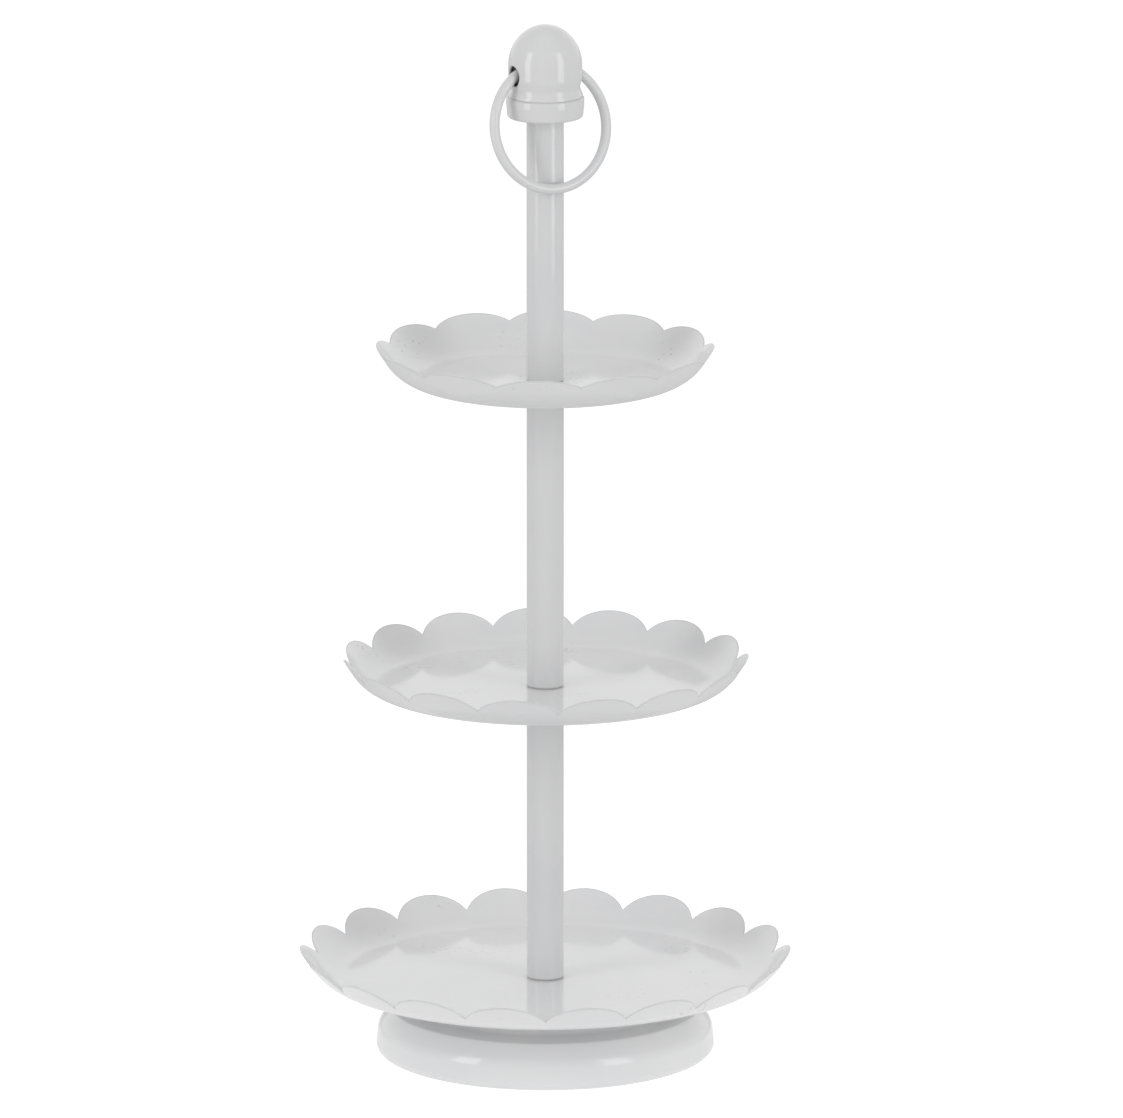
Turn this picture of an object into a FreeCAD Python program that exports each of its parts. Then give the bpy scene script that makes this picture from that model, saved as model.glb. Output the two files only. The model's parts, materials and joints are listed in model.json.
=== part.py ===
"""Three-tier cake stand with scalloped trays, a screw-together tube stem and a swinging ring handle.

Everything is in millimetres. +Z is up, the origin is the centre of the foot's rest plane on the stem's axis,
and X is the line through the two side holes of the finial, on which the ring handle swings.
"""

import FreeCAD, Part

import math
import os

from FreeCAD import Vector

os.makedirs("parts", exist_ok=True)

# ---- driving dimensions ------------------------------------------------------------------------------------

SHEET = 0.8                # trays and foot are pressed and spun from this sheet
PAD = 0.5                  # nylon washer between a tube's end and a tray

FOOT_HEIGHT = 37.5         # rest plane to the top of the foot's plate
LOWER_TUBE_LENGTH = 152.0
MIDDLE_TUBE_LENGTH = 158.0
UPPER_TUBE_LENGTH = 139.5

TUBE_R = 9.5
TUBE_WALL = 1.0

# Each tray: flat floor radius, corner radius, wall angle from level, radius at the notches and at the tips of
# the lobes, number of lobes, and the turn from +Y, clockwise from above, of one notch.
BOTTOM_TRAY = dict(floor_r=102.3, corner_r=21.8, wall_deg=50.0, notch_r=119.0, tip_r=126.1, lobes=18, turn=8.4)
MIDDLE_TRAY = dict(floor_r=81.5, corner_r=20.5, wall_deg=57.0, notch_r=99.1, tip_r=104.1, lobes=15, turn=12.7)
TOP_TRAY = dict(floor_r=60.0, corner_r=25.0, wall_deg=57.0, notch_r=83.3, tip_r=86.3, lobes=12, turn=15.7)

# The foot's outer profile, from the rest plane up: (radius, height, corner radius).
FOOT_PROFILE = [
    (79.0, 0.0, 0.0),
    (87.3, 0.0, 4.6),
    (85.8, 14.5, 9.0),
    (79.0, 23.3, 1.8),
    (67.0, 25.0, 3.5),
    (63.5, FOOT_HEIGHT, 2.2),
]

THREAD_R = 3.0             # M6
THREAD_PITCH = 1.0
THREAD_DEPTH = 0.55
THREAD_CORNERS = (0.1, 0.45, 0.55, 0.9)    # of the pitch: root ends, crest starts, crest ends, root starts
DRILL_POINT = 0.6          # height of a drilled hole's cone for each unit of its radius
TAP_SPARE = 1.0            # left between a screw's or stud's end and the end of its tapped hole
TRAY_HOLE_R = 3.3
PLUG_LENGTH = 14.0
PLUG_TAP_DEPTH = 11.0
STUD_SUNK = 0.6            # the finial's stud ends this far below the top of the collar's core
PAD_INSET = 0.4            # a pad is this much smaller than the tube all round
EDGE_BREAK = 0.3           # small chamfer on turned and cut edges

FINIAL_RECESS = 3.0        # the upper tube's end seats this deep in the collar
COLLAR_FIT = 0.15          # room round the tube in the collar's recess
COLLAR_LEAD = 0.4          # chamfers of the recess and the spigot
COLLAR_FOOT_R = 19.3
COLLAR_FOOT_ROUND = 1.6    # height of the rounding under the collar
COLLAR_BAND_R = 19.85
COLLAR_BAND_LOW = 7.0      # the collar widens up to here
COLLAR_BAND_TOP = 10.0
BAND_EDGE = 0.5            # height of the rounding over the band
SEAM_Z = 11.0              # the dome stands on the collar here
SEAM_R = 19.2
SPIGOT_TOP = 15.2
SPIGOT_WALL = 1.6
CORE_R = 8.0               # tapped core that takes the finial's stud
CORE_TOP = 12.4
CORE_ROOT_Z = 10.0         # floor of the groove between the core and the spigot
NECK_Z = 15.6
NECK_R = 17.5
SKIRT_LIP = 1.0            # nearly upright part of the dome's skirt, above the seam
SKIRT_TAPER = 0.1          # how much that part narrows
SKIRT_CORNERS = [0.0, 1.5, 3.0, 5.0, 0.0]
DOME_SHOULDER_Z = 20.0
DOME_R = 18.8
DOME_CENTRE_Z = 26.8
DOME_RISE = 20.8
DOME_WALL = 1.4

RING_R = 32.0              # to the middle of the wire
WIRE_R = 2.6
PIVOT_Z = 21.8             # above the collar's underside
PIVOT_REACH = 18.3         # from the axis to where the wire crosses the dome's wall
SIDE_HOLE_R = 5.3
SIDE_HOLE_Z = 22.6
RING_GAP = 0.3             # left between the resting ring and the tube

SCREW_HEAD_R = 6.0
SCREW_HEAD_HEIGHT = 3.6
SOCKET_FLATS = 4.0
SOCKET_DEPTH = 2.0
LOCK_WASHER_R = 5.4
LOCK_WASHER_HEIGHT = 1.6
LOCK_WASHER_SPLIT = 0.8
LOCK_WASHER_SLANT = 25.0   # of the split, in degrees from upright
FLAT_WASHER_R = 16.0
FLAT_WASHER_HEIGHT = 1.5
SHANK_CLEARANCE_R = 3.2

# ---- heights that follow -----------------------------------------------------------------------------------

BOTTOM_FLOOR_Z = FOOT_HEIGHT + SHEET
LOWER_TUBE_Z = BOTTOM_FLOOR_Z + PAD
LOWER_TUBE_TOP_Z = LOWER_TUBE_Z + LOWER_TUBE_LENGTH
MIDDLE_FLOOR_Z = LOWER_TUBE_TOP_Z + PAD + SHEET
MIDDLE_TUBE_Z = MIDDLE_FLOOR_Z + PAD
MIDDLE_TUBE_TOP_Z = MIDDLE_TUBE_Z + MIDDLE_TUBE_LENGTH
TOP_FLOOR_Z = MIDDLE_TUBE_TOP_Z + PAD + SHEET
UPPER_TUBE_Z = TOP_FLOOR_Z + PAD
UPPER_TUBE_TOP_Z = UPPER_TUBE_Z + UPPER_TUBE_LENGTH
FINIAL_Z = UPPER_TUBE_TOP_Z - FINIAL_RECESS
PIVOT_HEIGHT = FINIAL_Z + PIVOT_Z
PLUG_R = TUBE_R - TUBE_WALL

Z_AXIS = Vector(0, 0, 1)
ORIGIN = Vector(0, 0, 0)


# ---- profile helpers ---------------------------------------------------------------------------------------

def xz(r, z):
    """A point of a profile: radius and height."""
    return Vector(r, 0, z)


def offset_points(points, distance):
    """The corners of the open path moved sideways to the left of its direction by distance."""
    moved = []
    count = len(points)
    directions = [(points[i + 1] - points[i]).normalize() for i in range(count - 1)]
    normals = [Vector(-d.z, 0, d.x) for d in directions]
    for i, point in enumerate(points):
        before = normals[max(i - 1, 0)]
        after = normals[min(i, count - 2)]
        mitre = (before + after) * (distance / (1 + before.dot(after)))
        moved.append(point + mitre)
    return moved


def rounded_edges(points, radii):
    """Straight runs between the points, with an arc of the given radius at each inner corner."""
    edges = []
    start = points[0]
    for i in range(1, len(points) - 1):
        into = (points[i] - points[i - 1]).normalize()
        out = (points[i + 1] - points[i]).normalize()
        turn = math.acos(max(-1.0, min(1.0, into.dot(out))))
        setback = radii[i] * math.tan(turn / 2)
        if setback > 1e-6:
            arc_start = points[i] - into * setback
            arc_end = points[i] + out * setback
            bisector = (out - into).normalize()
            reach = radii[i] / math.cos(turn / 2) - radii[i]
            edges.append(Part.makeLine(start, arc_start))
            edges.append(Part.Arc(arc_start, points[i] + bisector * reach, arc_end).toShape())
            start = arc_end
        else:
            edges.append(Part.makeLine(start, points[i]))
            start = points[i]
    edges.append(Part.makeLine(start, points[-1]))
    return edges


def sheet_profile(points, radii, thickness):
    """A face of even thickness on the left of an open path, with concentric corners."""
    inner_radii = []
    for i, radius in enumerate(radii):
        if radius > 0 and 0 < i < len(points) - 1:
            into = points[i] - points[i - 1]
            out = points[i + 1] - points[i]
            left_turn = into.x * out.z - into.z * out.x > 0
            radius = radius - thickness if left_turn else radius + thickness
        inner_radii.append(max(radius, 0.0))
    inner = offset_points(points, thickness)
    edges = rounded_edges(points, radii)
    edges += [Part.makeLine(points[-1], inner[-1])]
    edges += rounded_edges(inner, inner_radii)
    edges += [Part.makeLine(points[0], inner[0])]
    return Part.Face(Part.Wire(Part.__sortEdges__(edges)))


def revolved(face):
    return face.revolve(ORIGIN, Z_AXIS, 360)


def turned(corners):
    """A solid of revolution from straight-sided corners (radius, height)."""
    points = [xz(r, z) for r, z in corners]
    return revolved(Part.Face(Part.makePolygon(points + [points[0]])))


def tube(outer_r, inner_r, low, height):
    """A turned sleeve with broken outer edges."""
    high = low + height
    break_size = min(EDGE_BREAK, height / 4)
    return turned([
        (inner_r, low),
        (outer_r - break_size, low),
        (outer_r, low + break_size),
        (outer_r, high - break_size),
        (outer_r - break_size, high),
        (inner_r, high),
    ])


def threaded_rod(low, high):
    """A rod with ring grooves at the thread's pitch, standing in for its helix."""
    root = THREAD_R - THREAD_DEPTH
    corners = [(0, low), (root, low)]
    turns = int((high - low) / THREAD_PITCH)
    start = low + ((high - low) - turns * THREAD_PITCH) / 2
    for i in range(turns):
        radii = (root, THREAD_R, THREAD_R, root)
        corners += [(r, start + (i + part) * THREAD_PITCH) for r, part in zip(radii, THREAD_CORNERS)]
    corners += [(root, high), (0, high)]
    return turned(corners)


def write(name, shape):
    shape.exportStep("parts/" + name + ".step")
    print(f"{name:28s} {shape.Volume / 1000:8.2f} cm3  valid {shape.isValid()}  solids {len(shape.Solids)}")


# ---- trays -------------------------------------------------------------------------------------------------

RIM_SPARE = 3.0            # the wall is made this much too wide, then trimmed to the lobes
LEAST_TRIM = 0.005         # trimming takes away more than this share of the dish


def lobe_outline(tray, lobe):
    """One lobe's edge from above. A circle's arc on the sloping wall looks like an ellipse's arc."""
    half_angle = math.pi / tray["lobes"]
    flattening = math.cos(math.radians(tray["wall_deg"]))
    half_width = tray["notch_r"] * math.sin(half_angle)
    height = (tray["tip_r"] - tray["notch_r"] * math.cos(half_angle)) / flattening
    arc_r = (half_width ** 2 + height ** 2) / (2 * height)
    angle = math.radians(tray["turn"]) + (2 * lobe + 1) * half_angle
    outward = Vector(math.sin(angle), math.cos(angle), 0)
    sideways = Vector(outward.y, -outward.x, 0)
    centre = outward * (tray["tip_r"] - arc_r * flattening)
    ellipse = Part.Ellipse(centre + sideways * arc_r, centre + outward * arc_r * flattening, centre)
    start = math.acos(half_width / arc_r)
    return Part.ArcOfEllipse(ellipse, start, math.pi - start).toShape()


def scalloped_outline(tray):
    """The rim seen from above, from notch to notch round all the lobes."""
    edges = [lobe_outline(tray, lobe) for lobe in range(tray["lobes"])]
    return Part.Wire(Part.__sortEdges__(edges))


def make_tray(tray, floor_z):
    """A dished tray whose floor's upper face is at floor_z, with a hole for the stud."""
    angle = math.radians(tray["wall_deg"])
    under_z = floor_z - SHEET
    under_corner_r = tray["corner_r"] + SHEET
    corner_x = tray["floor_r"] + under_corner_r * math.tan(angle / 2)
    reach = tray["tip_r"] + RIM_SPARE - corner_x
    path = [
        xz(TRAY_HOLE_R, under_z),
        xz(corner_x, under_z),
        xz(corner_x + reach, under_z + reach * math.tan(angle)),
    ]
    dish = revolved(sheet_profile(path, [0.0, under_corner_r, 0.0], SHEET))
    middle_of_lobe = 90 - tray["turn"] - 180 / tray["lobes"]
    dish.rotate(ORIGIN, Z_AXIS, middle_of_lobe)
    tool = Part.Face(scalloped_outline(tray)).extrude(Vector(0, 0, 2 * tray["tip_r"]))
    tool.translate(Vector(0, 0, under_z - tray["tip_r"]))
    trimmed = dish.common(tool)
    if trimmed.Volume > (1 - LEAST_TRIM) * dish.Volume or len(trimmed.Solids) != 1:
        raise ValueError("the rim was not trimmed")
    return trimmed.Solids[0]


# ---- foot --------------------------------------------------------------------------------------------------

def make_foot():
    path = [xz(r, z) for r, z, _ in FOOT_PROFILE] + [xz(TRAY_HOLE_R, FOOT_HEIGHT)]
    radii = [radius for _, _, radius in FOOT_PROFILE] + [0.0]
    return revolved(sheet_profile(path, radii, SHEET))


def make_foot_screw():
    """Pan head screw with a hexagon socket, driven up into the lower tube, its head under the washers."""
    seat = FOOT_HEIGHT - SHEET - FLAT_WASHER_HEIGHT - LOCK_WASHER_HEIGHT
    head_low = seat - SCREW_HEAD_HEIGHT
    rounding = SCREW_HEAD_HEIGHT / 2
    flat_r = SCREW_HEAD_R - rounding
    bulge = rounding * math.sqrt(0.5)
    edges = [
        Part.makeLine(xz(0, seat), xz(0, head_low)),
        Part.makeLine(xz(0, head_low), xz(flat_r, head_low)),
        Part.Arc(
            xz(flat_r, head_low),
            xz(flat_r + bulge, head_low + rounding - bulge),
            xz(SCREW_HEAD_R, head_low + rounding),
        ).toShape(),
        Part.makeLine(xz(SCREW_HEAD_R, head_low + rounding), xz(SCREW_HEAD_R, seat)),
        Part.makeLine(xz(SCREW_HEAD_R, seat), xz(0, seat)),
    ]
    head = revolved(Part.Face(Part.Wire(edges)))
    corner_r = SOCKET_FLATS / 2 / math.cos(math.pi / 6)
    corners = [
        Vector(corner_r * math.cos(i * math.pi / 3), corner_r * math.sin(i * math.pi / 3), head_low)
        for i in range(6)
    ]
    socket = Part.Face(Part.makePolygon(corners + [corners[0]])).extrude(Vector(0, 0, SOCKET_DEPTH))
    tip = LOWER_TUBE_Z + PLUG_TAP_DEPTH - TAP_SPARE
    return head.cut(socket).fuse(threaded_rod(seat, tip))


def make_lock_washer():
    low = FOOT_HEIGHT - SHEET - FLAT_WASHER_HEIGHT - LOCK_WASHER_HEIGHT
    ring = tube(LOCK_WASHER_R, SHANK_CLEARANCE_R, low, LOCK_WASHER_HEIGHT)
    tall = LOCK_WASHER_HEIGHT * 3
    corner = Vector(0, -LOCK_WASHER_SPLIT / 2, -tall / 2)
    gap = Part.makeBox(LOCK_WASHER_R * 2, LOCK_WASHER_SPLIT, tall, corner)
    gap.rotate(ORIGIN, Vector(1, 0, 0), LOCK_WASHER_SLANT)
    gap.translate(Vector(0, 0, low + LOCK_WASHER_HEIGHT / 2))
    return ring.cut(gap)


def make_flat_washer():
    low = FOOT_HEIGHT - SHEET - FLAT_WASHER_HEIGHT
    return tube(FLAT_WASHER_R, SHANK_CLEARANCE_R, low, FLAT_WASHER_HEIGHT)


# ---- stem --------------------------------------------------------------------------------------------------

def make_plug(end_z, inward):
    """A tapped plug, flush with a tube's end; inward is +1 at the lower end and -1 at the upper end."""
    deep = end_z + inward * PLUG_LENGTH
    tap_end = end_z + inward * PLUG_TAP_DEPTH
    cone_end = tap_end + inward * THREAD_R * DRILL_POINT
    lead = EDGE_BREAK * 2
    return turned([
        (THREAD_R + lead, end_z),
        (PLUG_R - EDGE_BREAK, end_z),
        (PLUG_R, end_z + inward * EDGE_BREAK),
        (PLUG_R, deep - inward * EDGE_BREAK),
        (PLUG_R - EDGE_BREAK, deep),
        (0, deep),
        (0, cone_end),
        (THREAD_R, tap_end),
        (THREAD_R, end_z + inward * lead),
    ])


def make_pad(low):
    """A nylon washer a little smaller than the tube, so only its thin edge shows."""
    return tube(TUBE_R - PAD_INSET, TRAY_HOLE_R, low, PAD)


# ---- finial and ring ---------------------------------------------------------------------------------------

def make_collar():
    """The turned base of the finial: a band, a spigot for the dome and a tapped core."""
    recess_r = TUBE_R + COLLAR_FIT
    spigot_r = NECK_R - DOME_WALL
    groove_r = spigot_r - SPIGOT_WALL
    corners = [
        (THREAD_R, FINIAL_RECESS),
        (recess_r, FINIAL_RECESS),
        (recess_r, COLLAR_LEAD),
        (recess_r + COLLAR_LEAD, 0.0),
        (COLLAR_FOOT_R - COLLAR_FOOT_ROUND, 0.0),
        (COLLAR_FOOT_R - COLLAR_FOOT_ROUND / 3, COLLAR_FOOT_ROUND / 3),
        (COLLAR_FOOT_R, COLLAR_FOOT_ROUND),
        (COLLAR_BAND_R, COLLAR_BAND_LOW),
        (COLLAR_BAND_R, COLLAR_BAND_TOP - BAND_EDGE),
        (COLLAR_BAND_R - EDGE_BREAK / 2, COLLAR_BAND_TOP),
        (SEAM_R, SEAM_Z),
        (spigot_r, SEAM_Z),
        (spigot_r, SPIGOT_TOP - COLLAR_LEAD),
        (spigot_r - COLLAR_LEAD, SPIGOT_TOP),
        (groove_r, SPIGOT_TOP),
        (groove_r, CORE_ROOT_Z),
        (CORE_R, CORE_ROOT_Z),
        (CORE_R - 2 * COLLAR_LEAD, CORE_TOP),
        (THREAD_R, CORE_TOP),
    ]
    shape = turned(corners)
    shape.translate(Vector(0, 0, FINIAL_Z))
    return shape


def dome_side(inset):
    """Edges of the dome's skirt and ellipse, moved in by inset, and the path's two ends."""
    skirt = [
        xz(SEAM_R - inset, SEAM_Z),
        xz(SEAM_R - SKIRT_TAPER - inset, SEAM_Z + SKIRT_LIP),
        xz(NECK_R - inset, NECK_Z),
        xz(DOME_R - inset, DOME_SHOULDER_Z),
        xz(DOME_R - inset, DOME_CENTRE_Z),
    ]
    edges = rounded_edges(skirt, SKIRT_CORNERS)
    centre = xz(0, DOME_CENTRE_Z)
    top = xz(0, DOME_CENTRE_Z + DOME_RISE - inset)
    ellipse = Part.Ellipse(top, xz(DOME_R - inset, DOME_CENTRE_Z), centre)
    quarter = ellipse.toShape(0, math.pi / 2)
    if quarter.BoundBox.XMax < DOME_R / 2:
        quarter = ellipse.toShape(3 * math.pi / 2, 2 * math.pi)
    return edges + [quarter], skirt[0], top


def make_dome():
    """The hollow dome with its two side holes."""
    outer, outer_low, outer_top = dome_side(0.0)
    inner, inner_low, inner_top = dome_side(DOME_WALL)
    edges = outer + inner + [Part.makeLine(outer_low, inner_low), Part.makeLine(outer_top, inner_top)]
    shell = revolved(Part.Face(Part.Wire(Part.__sortEdges__(edges))))
    drill = Part.makeCylinder(SIDE_HOLE_R, 4 * DOME_R, Vector(-2 * DOME_R, 0, SIDE_HOLE_Z), Vector(1, 0, 0))
    shell = shell.cut(drill)
    shell.translate(Vector(0, 0, FINIAL_Z))
    return shell


def ring_drop():
    """From the pivot line to the ring's centre."""
    return math.sqrt(RING_R ** 2 - PIVOT_REACH ** 2)


def ring_lean():
    """Angle from straight down at which the hanging ring comes to rest on the tube."""
    stand_off = TUBE_R + WIRE_R + RING_GAP
    return math.degrees(math.asin(stand_off / (ring_drop() + RING_R)))


def make_ring():
    ring = Part.makeTorus(RING_R, WIRE_R, Vector(0, 0, -ring_drop()), Vector(0, 1, 0))
    ring.rotate(ORIGIN, Vector(-1, 0, 0), ring_lean())
    ring.translate(Vector(0, 0, PIVOT_HEIGHT))
    return ring


# ---- assembly ----------------------------------------------------------------------------------------------

def main():
    write("foot_shell", make_foot())
    write("foot_screw", make_foot_screw())
    write("foot_lock_washer", make_lock_washer())
    write("foot_flat_washer", make_flat_washer())

    for name, tray, floor_z in (
        ("bottom_tray", BOTTOM_TRAY, BOTTOM_FLOOR_Z),
        ("middle_tray", MIDDLE_TRAY, MIDDLE_FLOOR_Z),
        ("top_tray", TOP_TRAY, TOP_FLOOR_Z),
    ):
        write(name, make_tray(tray, floor_z))

    for name, low, length in (
        ("lower_tube", LOWER_TUBE_Z, LOWER_TUBE_LENGTH),
        ("middle_tube", MIDDLE_TUBE_Z, MIDDLE_TUBE_LENGTH),
        ("upper_tube", UPPER_TUBE_Z, UPPER_TUBE_LENGTH),
    ):
        write(name, tube(TUBE_R, PLUG_R, low, length))
        write(name + "_bottom_plug", make_plug(low, 1))
        write(name + "_top_plug", make_plug(low + length, -1))

    for name, low in (
        ("bottom_tray_pad", BOTTOM_FLOOR_Z),
        ("middle_tray_under_pad", LOWER_TUBE_TOP_Z),
        ("middle_tray_pad", MIDDLE_FLOOR_Z),
        ("top_tray_under_pad", MIDDLE_TUBE_TOP_Z),
        ("top_tray_pad", TOP_FLOOR_Z),
    ):
        write(name, make_pad(low))

    stud_grip = PLUG_TAP_DEPTH - TAP_SPARE
    write("middle_joint_stud", threaded_rod(LOWER_TUBE_TOP_Z - stud_grip, MIDDLE_TUBE_Z + stud_grip))
    write("top_joint_stud", threaded_rod(MIDDLE_TUBE_TOP_Z - stud_grip, UPPER_TUBE_Z + stud_grip))
    write("finial_stud", threaded_rod(UPPER_TUBE_TOP_Z - stud_grip, FINIAL_Z + CORE_TOP - STUD_SUNK))

    write("finial_collar", make_collar())
    write("finial_dome", make_dome())
    write("ring_handle", make_ring())

    print(f"ring: drop {ring_drop():.3f}, lean {ring_lean():.3f} deg, pivot z {PIVOT_HEIGHT:.3f}")
    print(f"top of dome {FINIAL_Z + DOME_CENTRE_Z + DOME_RISE:.2f}")


main()
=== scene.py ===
"""Looks of the three-tier cake stand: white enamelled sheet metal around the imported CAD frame."""

import json
import math

import bmesh
import bpy
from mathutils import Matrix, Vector


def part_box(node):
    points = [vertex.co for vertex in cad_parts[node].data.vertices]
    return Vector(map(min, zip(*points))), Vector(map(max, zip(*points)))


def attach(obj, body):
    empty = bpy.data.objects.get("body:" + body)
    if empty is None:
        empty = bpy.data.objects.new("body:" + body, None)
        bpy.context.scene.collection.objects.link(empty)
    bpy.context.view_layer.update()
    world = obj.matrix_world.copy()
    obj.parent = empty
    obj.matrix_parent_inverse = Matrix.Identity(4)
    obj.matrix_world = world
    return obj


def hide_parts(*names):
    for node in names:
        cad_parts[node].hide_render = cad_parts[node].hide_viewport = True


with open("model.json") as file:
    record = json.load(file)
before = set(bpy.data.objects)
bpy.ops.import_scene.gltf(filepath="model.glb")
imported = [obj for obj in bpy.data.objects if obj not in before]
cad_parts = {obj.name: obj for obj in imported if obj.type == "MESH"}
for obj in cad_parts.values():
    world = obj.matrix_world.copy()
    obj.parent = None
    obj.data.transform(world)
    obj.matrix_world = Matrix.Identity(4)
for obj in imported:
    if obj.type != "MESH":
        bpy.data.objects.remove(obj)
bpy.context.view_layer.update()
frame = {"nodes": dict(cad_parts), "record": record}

MM = 0.001
NODES = frame["nodes"]

# ---- the object's dimensions, in mm, as in the CAD ---------------------------------------------

SHEET = 0.8
TUBE_R = 9.5
TUBE_WALL = 1.0
TRAY_HOLE_R = 3.3

# Each tray: flat floor radius, corner radius, wall angle from level, radius at the notches and at
# the tips of the lobes, number of lobes, and the turn from +Y, clockwise from above, of one notch.
TRAYS = {
    "bottom_tray": dict(
        floor_r=102.3, corner_r=21.8, wall_deg=50.0, notch_r=119.0, tip_r=126.1, lobes=18, turn=8.4
    ),
    "middle_tray": dict(
        floor_r=81.5, corner_r=20.5, wall_deg=57.0, notch_r=99.1, tip_r=104.1, lobes=15, turn=12.7
    ),
    "top_tray": dict(
        floor_r=60.0, corner_r=25.0, wall_deg=57.0, notch_r=83.3, tip_r=86.3, lobes=12, turn=15.7
    ),
}

# The foot's outer profile, from the rest plane up: (radius, height, corner radius).
FOOT_HEIGHT = 37.5
FOOT_PROFILE = [
    (79.0, 0.0, 0.0),
    (87.3, 0.0, 4.6),
    (85.8, 14.5, 9.0),
    (79.0, 23.3, 1.8),
    (67.0, 25.0, 3.5),
    (63.5, FOOT_HEIGHT, 2.2),
    (TRAY_HOLE_R, FOOT_HEIGHT, 0.0),
]

# The finial. Heights are above the underside of its collar.
FINIAL_RECESS = 3.0        # how far the tube goes up into the collar
THREAD_R = 3.0
THREAD_ROUND = 0.3         # at the top of the threaded hole
COLLAR_FIT = 0.15          # room round the tube in that recess
TIGHT_ROUND = 0.2          # the rounding of the corners in that recess and at the spigot's root
SOFT_ROUND = 0.4           # the rounding of the collar's other small edges
COLLAR_FOOT_INSET = 0.1    # how much slimmer the rounded foot is than the chamfered one of the CAD
COLLAR_FOOT_R = 19.3
COLLAR_FOOT_ROUND = 1.6
COLLAR_BAND_R = 19.85
COLLAR_BAND_LOW = 7.0
COLLAR_BAND_TOP = 10.0
BAND_SHOULDER_ROUND = 6.0
BAND_EDGE_ROUND = 0.6
SEAM_Z = 11.0              # where the dome's skirt stands on the collar
SEAM_R = 19.2
LEDGE_OUT = 0.2            # the collar's ledge runs from this far outside the skirt
LEDGE_DROP = 0.25          # and this far below it
LEDGE_IN = 0.3             # to this far under it
LEDGE_ROUND = 0.1
SPIGOT_TOP = 15.2
SPIGOT_WALL = 1.6
CORE_R = 8.0
CORE_TOP = 12.4
CORE_ROOT_Z = 10.0
CORE_TAPER = 0.8           # how much narrower the threaded core is at its top
NECK_Z = 15.6
NECK_R = 17.5
NECK_ROUND = 3.0
SKIRT_LIP = 1.0
SKIRT_TAPER = 0.1
SKIRT_ROUND = 1.5          # at the top of the skirt's lip
SKIRT_EDGE = 0.25          # mm, the rounding of the skirt's lower edge
SKIRT_EDGE_SHARE = 0.3     # how far up and in the one row inside that rounding lies
DOME_SHOULDER_Z = 20.0
DOME_SHOULDER_ROUND = 5.0
DOME_R = 18.8
DOME_CENTRE_Z = 26.8
DOME_RISE = 20.8
DOME_WALL = 1.4
SIDE_HOLE_R = 5.3
SIDE_HOLE_Z = 22.6

RING_R = 32.0              # to the middle of the wire
WIRE_R = 2.6
PIVOT_Z = 21.8             # the hinge's line, above the collar's underside
PIVOT_REACH = 18.3         # from the stem's axis to where the wire crosses that line
RING_GAP = 0.3             # between the hanging ring and the tube

# ---- mesh density ------------------------------------------------------------------------------

LATHE_STEPS = 192          # columns round the stem
ARC_STEPS = 9              # steps in a quarter turn of a rounded corner
SHARP = 1e-6               # mm, a rounding that takes up less of a side than this is left out
SUPPORT = 0.5              # mm from a rounding to the loop that keeps the flat beside it flat
EDGE_ROUND = 0.38          # mm, the rounding of a cut sheet edge
SHADED_EDGE_RADIUS = 0.45         # mm, a corner this tight gets painted shade, and its enamel is thinner too
LOBE_STEPS = 24            # columns in each lobe of a tray
FLOOR_STEPS = 10           # steps across a tray's flat floor
SIDE_STEPS = 20            # steps up its side
RIM_STEPS = 6              # steps round the sheet's edge
DOME_COLUMNS = 96          # columns round the dome
SKIRT_ROWS = 9             # rows from the skirt's edge up to the hole's block
HOLE_COLUMNS = 6           # columns each side of a hole's middle that its block of faces takes up
HOLE_BLOCK = 7.0           # mm, half the height of that block
HOLE_ROWS = 14             # rows of faces that the block takes up
HOLE_RINGS = 4             # rings of faces from its outline to the hole's lip
HOLE_LIP = 0.45            # mm, the rounding of the hole's edge
LIP_STEPS = 3              # steps in each of its two roundings
CAP_ROWS = 18              # rows of faces from the block to the pole
RING_STEPS = 160
WIRE_STEPS = 32            # steps round the ring's wire

# ---- light and camera --------------------------------------------------------------------------

CAMERA_DISTANCE = 8.0      # metres
CAMERA_ELEVATION = 13.0    # degrees
CAMERA_YAW = 28.5          # degrees, the camera stands this far round from -Y towards -X
TARGET_Z = 0.2583          # metres, the height aimed at
LENS = 502.0               # mm
SENSOR = 36.0              # mm
SHIFT = (0.0145, 0.0005)   # of the picture, as shares of its width
CLIP_END = 40.0            # metres
FLOOR_REACH = 14.0         # metres from the stem to each side of the floor

AMBIENT = 0.62             # even light from all round
BACKDROP = 0.38            # more of it from the side behind the stand
# Cosines of the angles from straight behind at which that starts and is full.
BACKDROP_EDGE = (0.40, 0.85)
FLOOR_TONE = 0.45          # how much light the floor sends back up
FLOOR_GLOW = 0.25          # light of its own
NEAR_GLOW = 0.32           # more of it round the foot
GLOW_FADE = (0.10, 0.34)   # metres from the stem over which that fades
FLOOR_WHITE = 0.9          # how pale it looks
FLOOR_LIFT = 0.42          # on top of that, so that it stays white in every shadow

# Panels of light: name, bearing from the camera's direction (to the camera's right), elevation and
# distance of the middle from the point aimed at, the height of that point, width and height of the
# panel, and radiance.
PANELS = [
    ("left_softbox", -56.0, 0.0, 1.8, 0.86, 0.60, 1.60, 2.60),
    ("right_softbox", 50.0, 0.0, 1.8, 0.86, 0.64, 1.65, 2.41),
    ("overhead", 0.0, 90.0, 2.2, 0.30, 1.80, 1.80, 0.24),
]

# ---- finishes ----------------------------------------------------------------------------------

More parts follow.
